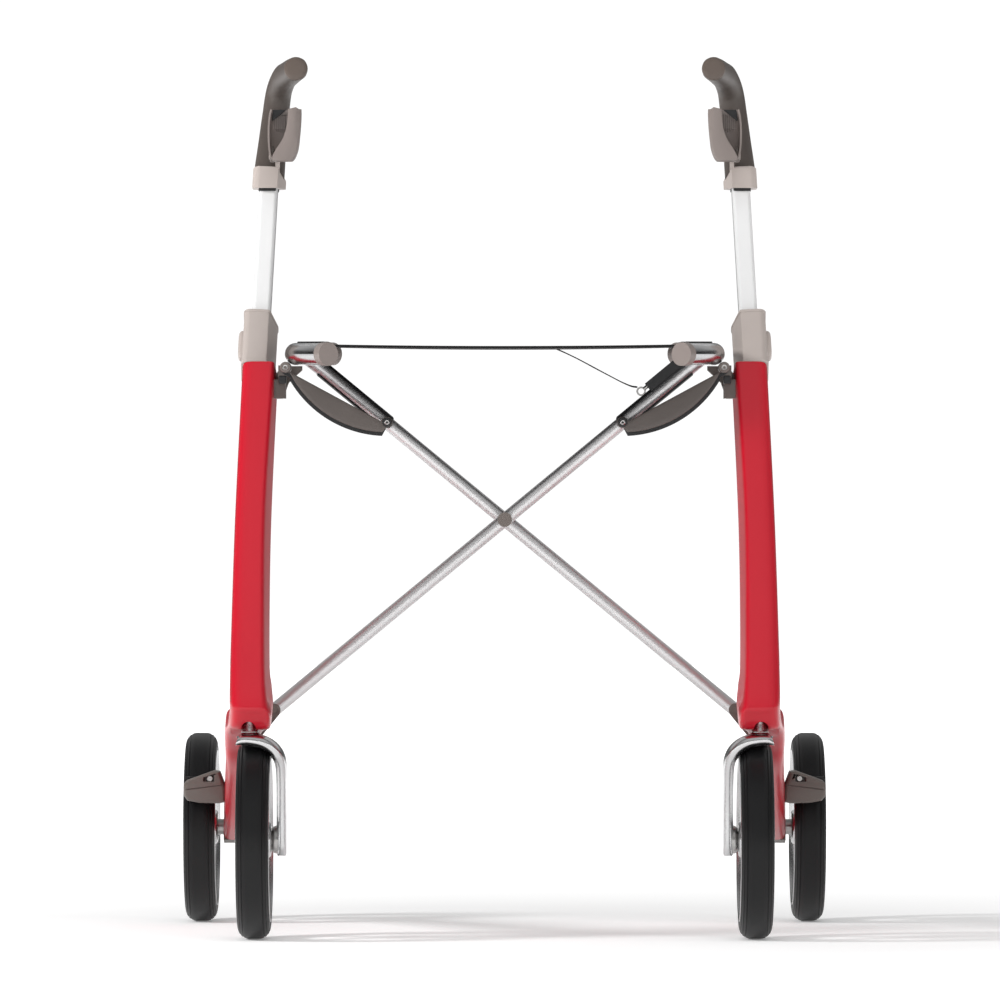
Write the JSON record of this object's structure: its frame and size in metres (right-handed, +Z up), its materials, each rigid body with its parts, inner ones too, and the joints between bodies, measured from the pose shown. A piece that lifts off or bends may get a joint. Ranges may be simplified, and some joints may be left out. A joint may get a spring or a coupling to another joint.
{
  "type": "rollator walker",
  "caption": "Folding rollator with L-shaped moulded side frames, crossed bars, a textile seat, sliding handles with brake levers, swivel front wheels and rear wheels with brakes.",
  "frame": {"origin": "on the floor, midway between the left and right wheels and between the front and rear ends", "axes": "+Z up, -Y towards the front (the direction of travel), +X towards the side on the right of a viewer facing the front"},
  "size_m": [0.688, 0.643, 0.9135],
  "materials": {
    "lacquer": "red lacquer over moulded carbon",
    "taupe": "fine satin",
    "grip": "soft matt",
    "post": "satin",
    "aluminium": "anodised satin",
    "polished": "polished",
    "steel": "satin",
    "tyre": "matt",
    "dark": "matt",
    "textile": "woven",
    "cord": "braided"
  },
  "bodies": {
    "left_frame": {"side_frame_left": "lacquer", "collar_left": "taupe", "seat_bracket_left": "steel", "hinge_bracket_left": "dark", "frame_hardware_left": "steel", "brake_housing_left": "taupe", "leg_end_left": "taupe"},
    "left_handle": {"handle_post_left": "post", "grip_band_left": "taupe", "grip_left": "grip"},
    "left_lever": {"brake_lever_left": "taupe"},
    "left_button": {"height_button_left": "taupe"},
    "left_caster": {"caster_fork_left": "aluminium", "caster_stem_left": "steel", "front_axle_left": "steel"},
    "left_front_wheel": {"front_tyre_left": "tyre", "front_rim_left": "aluminium", "front_bearings_left": "steel"},
    "left_rear_wheel": {"rear_tyre_left": "tyre", "rear_rim_left": "aluminium", "rear_bearings_left": "steel"},
    "left_brake": {"brake_shoe_left": "dark"},
    "left_link": {"link_core_left": "dark", "link_cover_left": "taupe"},
    "right_frame": {"side_frame_right": "lacquer", "collar_right": "taupe", "seat_bracket_right": "steel", "hinge_bracket_right": "dark", "frame_hardware_right": "steel", "brake_housing_right": "taupe", "leg_end_right": "taupe"},
    "right_handle": {"handle_post_right": "post", "grip_band_right": "taupe", "grip_right": "grip"},
    "right_lever": {"brake_lever_right": "taupe"},
    "right_button": {"height_button_right": "taupe"},
    "right_caster": {"caster_fork_right": "aluminium", "caster_stem_right": "steel", "front_axle_right": "steel"},
    "right_front_wheel": {"front_tyre_right": "tyre", "front_rim_right": "aluminium", "front_bearings_right": "steel"},
    "right_rear_wheel": {"rear_tyre_right": "tyre", "rear_rim_right": "aluminium", "rear_bearings_right": "steel"},
    "right_brake": {"brake_shoe_right": "dark"},
    "right_link": {"link_core_right": "dark", "link_cover_right": "taupe"},
    "bar_a": {"cross_bar_a": "polished", "seat_rail_right": "aluminium", "rail_caps_right": "taupe", "centre_pivot": "taupe", "latch_housing": "dark"},
    "bar_b": {"cross_bar_b": "polished", "seat_rail_left": "aluminium", "rail_caps_left": "taupe"},
    "latch": {"latch_plunger": "steel"},
    "seat": {"seat_fabric": "textile", "release_cord": "cord"}
  },
  "joints": [
    {"name": "fold", "type": "hinge", "parent": "left_frame", "child": "bar_a", "pos_m": [-0.2394, -0.118, 0.2325], "axis": [0, -1, 0], "range_deg": [0, 36], "deforming": ["seat_fabric", "release_cord"]},
    {"name": "cross_turn", "type": "hinge", "parent": "bar_a", "child": "bar_b", "pos_m": [0, -0.11, 0.43], "axis": [0, 1, 0], "range_deg": [0, 73]},
    {"name": "right_hinge", "type": "hinge", "parent": "bar_b", "child": "right_frame", "pos_m": [0.2394, -0.102, 0.2325], "axis": [0, -1, 0], "range_deg": [0, 37]},
    {"name": "seat_turn", "type": "hinge", "parent": "bar_b", "child": "seat", "pos_m": [-0.217, -0.11, 0.6023], "axis": [0, -1, 0], "range_deg": [0, 37]},
    {"name": "left_link_turn", "type": "hinge", "parent": "left_frame", "child": "left_link", "pos_m": [-0.2272, -0.133, 0.5877], "axis": [0, -1, 0], "range_deg": [0, 106.4]},
    {"name": "right_link_turn", "type": "hinge", "parent": "right_frame", "child": "right_link", "pos_m": [0.2272, -0.133, 0.5877], "axis": [0, 1, 0], "range_deg": [0, 106.4]},
    {"name": "left_handle_slide", "type": "slide", "parent": "left_frame", "child": "left_handle", "axis": [0.0376, 0.4384, 0.898], "range_m": [-0.135, 0.05]},
    {"name": "left_lever_pull", "type": "hinge", "parent": "left_handle", "child": "left_lever", "pos_m": [-0.244, -0.011, 0.814], "axis": [-1, 0, 0], "range_deg": [0, 12], "stiffness_Nm_per_rad": 0.6, "springref_deg": -5.73},
    {"name": "left_brake_push", "type": "slide", "parent": "left_frame", "child": "left_brake", "axis": [0, 1, 0], "range_m": [0, 0.0023]},
    {"name": "left_button_press", "type": "slide", "parent": "left_frame", "child": "left_button", "axis": [0.9991, 0, -0.0419], "range_m": [0, 0.003], "stiffness_N_per_m": 400, "springref_m": -0.001},
    {"name": "left_caster_swivel", "type": "hinge", "parent": "left_frame", "child": "left_caster", "pos_m": [-0.26, -0.255, 0.23], "axis": [0, 0, 1], "continuous": true},
    {"name": "left_front_spin", "type": "hinge", "parent": "left_caster", "child": "left_front_wheel", "pos_m": [-0.2565, -0.22, 0.1015], "axis": [1, 0, 0], "continuous": true},
    {"name": "left_rear_spin", "type": "hinge", "parent": "left_frame", "child": "left_rear_wheel", "pos_m": [-0.327, 0.22, 0.1015], "axis": [1, 0, 0], "continuous": true},
    {"name": "right_handle_slide", "type": "slide", "parent": "right_frame", "child": "right_handle", "axis": [-0.0376, 0.4384, 0.898], "range_m": [-0.135, 0.05]},
    {"name": "right_lever_pull", "type": "hinge", "parent": "right_handle", "child": "right_lever", "pos_m": [0.244, -0.011, 0.814], "axis": [-1, 0, 0], "range_deg": [0, 12], "stiffness_Nm_per_rad": 0.6, "springref_deg": -5.73},
    {"name": "right_brake_push", "type": "slide", "parent": "right_frame", "child": "right_brake", "axis": [0, 1, 0], "range_m": [0, 0.0023]},
    {"name": "right_button_press", "type": "slide", "parent": "right_frame", "child": "right_button", "axis": [-0.9991, 0, -0.0419], "range_m": [0, 0.003], "stiffness_N_per_m": 400, "springref_m": -0.001},
    {"name": "right_caster_swivel", "type": "hinge", "parent": "right_frame", "child": "right_caster", "pos_m": [0.26, -0.255, 0.23], "axis": [0, 0, 1], "continuous": true},
    {"name": "right_front_spin", "type": "hinge", "parent": "right_caster", "child": "right_front_wheel", "pos_m": [0.2565, -0.22, 0.1015], "axis": [1, 0, 0], "continuous": true},
    {"name": "right_rear_spin", "type": "hinge", "parent": "right_frame", "child": "right_rear_wheel", "pos_m": [0.327, 0.22, 0.1015], "axis": [1, 0, 0], "continuous": true},
    {"name": "latch_release", "type": "slide", "parent": "bar_a", "child": "latch", "axis": [-0.7714, 0, -0.6363], "range_m": [0, 0.0035], "stiffness_N_per_m": 300, "springref_m": -0.001}
  ],
  "couplings": [
    {"joint": "cross_turn", "follows": "fold", "ratio": 2},
    {"joint": "right_hinge", "follows": "fold", "ratio": 1},
    {"joint": "seat_turn", "follows": "fold", "ratio": 1},
    {"joint": "left_link_turn", "follows": "fold", "ratio": 2.9},
    {"joint": "right_link_turn", "follows": "fold", "ratio": 2.9},
    {"joint": "left_brake_push", "follows": "left_lever_pull", "m_per_rad": 0.0105},
    {"joint": "right_brake_push", "follows": "right_lever_pull", "m_per_rad": 0.0105}
  ]
}
